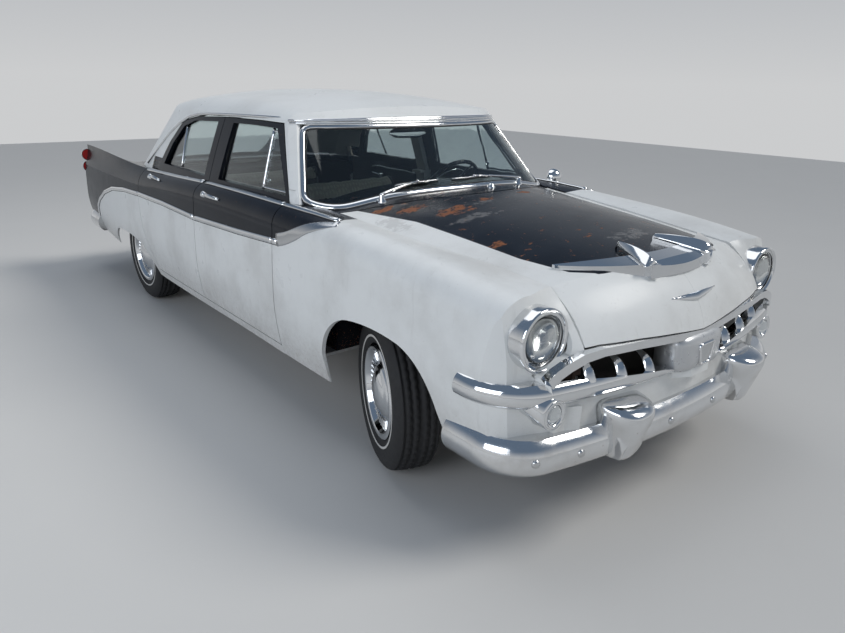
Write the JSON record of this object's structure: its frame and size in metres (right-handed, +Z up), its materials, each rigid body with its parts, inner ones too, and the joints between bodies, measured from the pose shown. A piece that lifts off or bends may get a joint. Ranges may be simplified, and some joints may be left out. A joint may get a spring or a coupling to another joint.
{
  "type": "1950s four-door saloon car",
  "caption": "Full-size four-door saloon car of the 1950s with opening doors, bonnet and boot lid, steered front wheels and a toothed grille.",
  "frame": {"origin": "on the ground, under the middle of the car's length and width", "axes": "+Y towards the tail, +X towards the car's left side, +Z up"},
  "size_m": [1.8784, 5.385, 1.5407],
  "materials": {
    "door_paint": "weathered gloss",
    "body_paint": "weathered gloss",
    "roof_paint": "weathered gloss",
    "bonnet_paint": "faded gloss with rust",
    "clear_glass": "clear",
    "lamp_glass": "clear ribbed",
    "red_lens": "gloss",
    "bright_trim": "aged polish",
    "tyre_rubber": "matte",
    "wheel_cover_metal": "aged polish",
    "knuckle_iron": "rough",
    "chassis_black": "satin, dirty",
    "cabin_trim": "matte",
    "dash_paint": "satin",
    "seat_cloth": "matte",
    "engine_iron": "rough",
    "exhaust_steel": "rusty",
    "wheel_plastic": "gloss"
  },
  "bodies": {
    "body": {"roof": "roof_paint", "windscreen": "clear_glass", "rear_screen": "clear_glass", "front_wings": "body_paint", "cowl": "body_paint", "rear_body": "body_paint", "nose_panel": "body_paint", "grille": "bright_trim", "headlamps": "bright_trim", "headlamp_lenses": "lamp_glass", "parking_lamps": "bright_trim", "parking_lenses": "lamp_glass", "tail_lamps": "red_lens", "front_bumper": "bright_trim", "rear_bumper": "bright_trim", "frame": "chassis_black", "floor_pan": "chassis_black", "wheelhouses": "chassis_black", "parcel_shelf": "cabin_trim", "dashboard": "dash_paint", "front_seat": "seat_cloth", "rear_seat": "seat_cloth", "steering_column": "dash_paint", "engine": "engine_iron", "radiator": "chassis_black", "exhaust": "exhaust_steel", "fuel_tank": "chassis_black", "front_suspension": "chassis_black", "rear_axle": "chassis_black"},
    "bonnet": {"bonnet": "bonnet_paint", "bonnet_ornament": "bright_trim"},
    "boot_lid": {"boot_lid": "body_paint"},
    "steering_wheel": {"steering_wheel": "wheel_plastic"},
    "left_knuckle": {"left_knuckle": "knuckle_iron"},
    "right_knuckle": {"right_knuckle": "knuckle_iron"},
    "front_left_wheel": {"front_left_tyre": "tyre_rubber", "front_left_wheel": "wheel_cover_metal"},
    "rear_left_wheel": {"rear_left_tyre": "tyre_rubber", "rear_left_wheel": "wheel_cover_metal"},
    "front_right_wheel": {"front_right_tyre": "tyre_rubber", "front_right_wheel": "wheel_cover_metal"},
    "rear_right_wheel": {"rear_right_tyre": "tyre_rubber", "rear_right_wheel": "wheel_cover_metal"},
    "front_left_door": {"front_left_door": "door_paint", "front_left_door_glass": "clear_glass"},
    "rear_left_door": {"rear_left_door": "door_paint", "rear_left_door_glass": "clear_glass"},
    "front_right_door": {"front_right_door": "door_paint", "front_right_door_glass": "clear_glass"},
    "rear_right_door": {"rear_right_door": "door_paint", "rear_right_door_glass": "clear_glass"}
  },
  "joints": [
    {"name": "left_steer", "type": "hinge", "parent": "body", "child": "left_knuckle", "pos_m": [0.672, -1.727, 0.345], "axis": [0, 0, 1], "range_deg": [-10, 50]},
    {"name": "right_steer", "type": "hinge", "parent": "body", "child": "right_knuckle", "pos_m": [-0.672, -1.727, 0.345], "axis": [0, 0, 1], "range_deg": [-10, 50]},
    {"name": "front_left_wheel_spin", "type": "hinge", "parent": "left_knuckle", "child": "front_left_wheel", "pos_m": [0.74436, -1.75334, 0.345], "axis": [0.9397, -0.342, 0], "continuous": true},
    {"name": "rear_left_wheel_spin", "type": "hinge", "parent": "body", "child": "rear_left_wheel", "pos_m": [0.749, 1.321, 0.345], "axis": [1, 0, 0], "continuous": true},
    {"name": "front_right_wheel_spin", "type": "hinge", "parent": "right_knuckle", "child": "front_right_wheel", "pos_m": [-0.74436, -1.70066, 0.345], "axis": [0.9397, -0.342, 0], "continuous": true},
    {"name": "rear_right_wheel_spin", "type": "hinge", "parent": "body", "child": "rear_right_wheel", "pos_m": [-0.749, 1.321, 0.345], "axis": [1, 0, 0], "continuous": true},
    {"name": "front_left_door_hinge", "type": "hinge", "parent": "body", "child": "front_left_door", "pos_m": [0.932, -0.947, 0.7], "axis": [0, 0, -1], "range_deg": [0, 65]},
    {"name": "rear_left_door_hinge", "type": "hinge", "parent": "body", "child": "rear_left_door", "pos_m": [0.932, 0.013, 0.7], "axis": [0, 0, -1], "range_deg": [0, 65]},
    {"name": "front_right_door_hinge", "type": "hinge", "parent": "body", "child": "front_right_door", "pos_m": [-0.932, -0.947, 0.7], "axis": [0, 0, 1], "range_deg": [0, 65]},
    {"name": "rear_right_door_hinge", "type": "hinge", "parent": "body", "child": "rear_right_door", "pos_m": [-0.932, 0.013, 0.7], "axis": [0, 0, 1], "range_deg": [0, 65]},
    {"name": "steering_wheel_turn", "type": "hinge", "parent": "body", "child": "steering_wheel", "pos_m": [0.38, -0.715, 0.993], "axis": [0, 0.8192, 0.5736], "range_deg": [-160, 800]},
    {"name": "bonnet_hinge", "type": "hinge", "parent": "body", "child": "bonnet", "pos_m": [0, -1.19, 1.022], "axis": [-1, 0, 0], "range_deg": [0, 45]},
    {"name": "boot_lid_hinge", "type": "hinge", "parent": "body", "child": "boot_lid", "pos_m": [0, 1.596, 1.001], "axis": [1, 0, 0], "range_deg": [0, 60]}
  ],
  "couplings": [
    {"joint": "right_steer", "follows": "left_steer", "ratio": 1},
    {"joint": "steering_wheel_turn", "follows": "left_steer", "ratio": 16}
  ]
}
